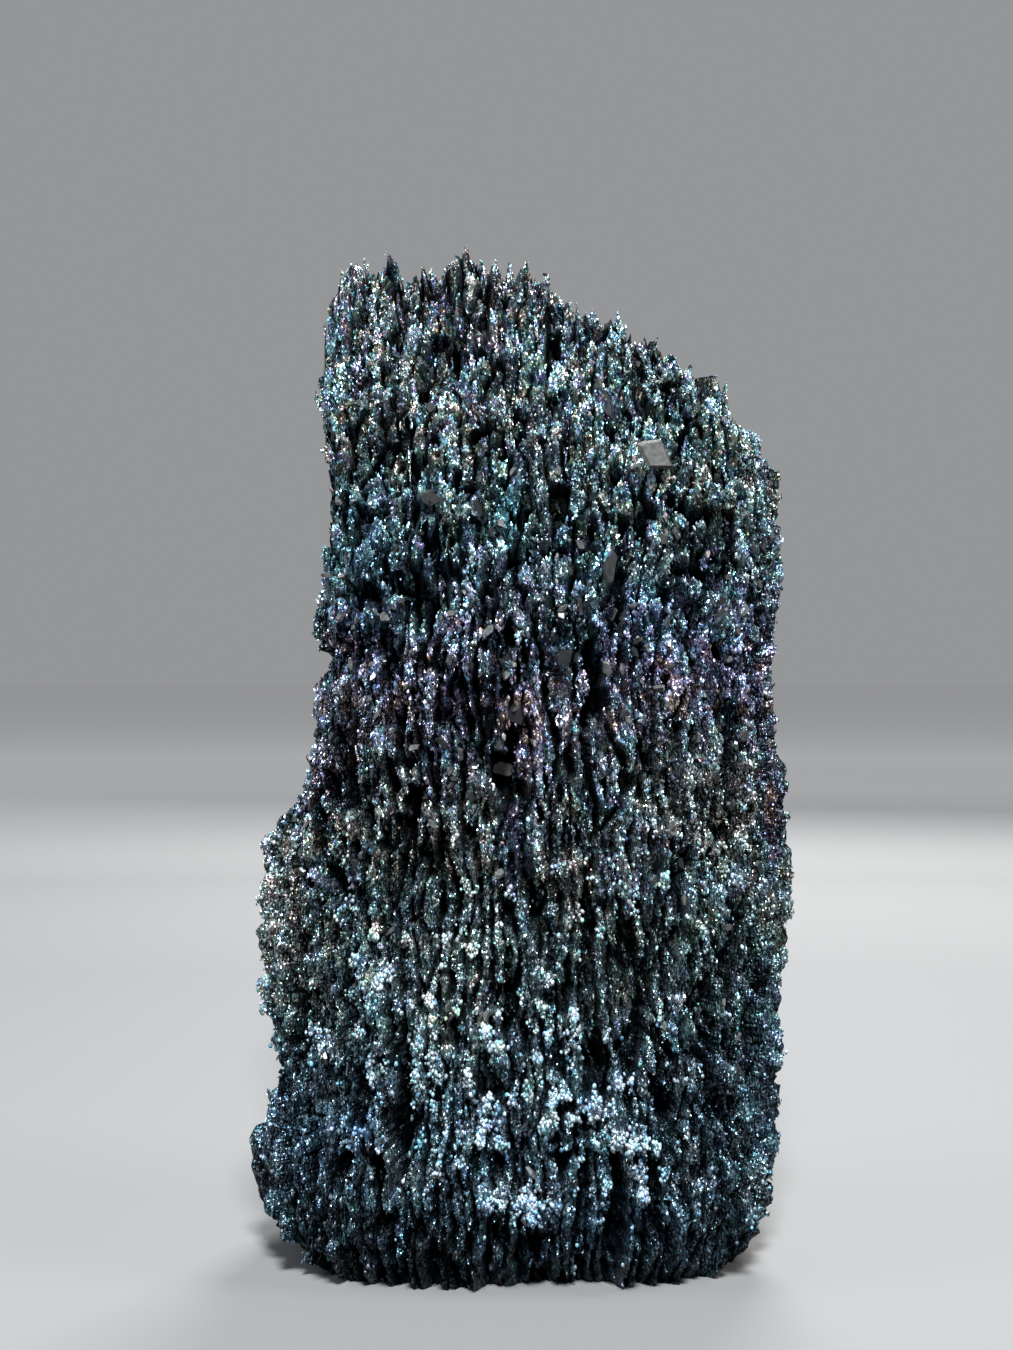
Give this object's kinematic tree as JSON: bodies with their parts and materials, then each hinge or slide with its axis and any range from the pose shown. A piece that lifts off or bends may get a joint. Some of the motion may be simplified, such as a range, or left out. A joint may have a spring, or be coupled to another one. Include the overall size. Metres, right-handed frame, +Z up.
{
  "type": "silicon carbide crystal cluster",
  "caption": "Upright slab-like cluster of grown-together columnar silicon carbide crystals, dark and iridescent, with a sloping crown of pointed tips and a flat base to stand on.",
  "frame": {"origin": "middle of the bounding box at the flat base", "axes": "+Z up along the crystal columns, +X to the right across the wide front, -Y out of the front face with the lower ridge of the crown"},
  "size_m": [0.094, 0.0586, 0.1754],
  "materials": {
    "carbide": "blue-black crystal faces with a metallic to adamantine shine and thin iridescent films of teal, blue, violet and gold"
  },
  "bodies": {
    "root": {"silicon_carbide_cluster": "carbide"}
  },
  "joints": []
}
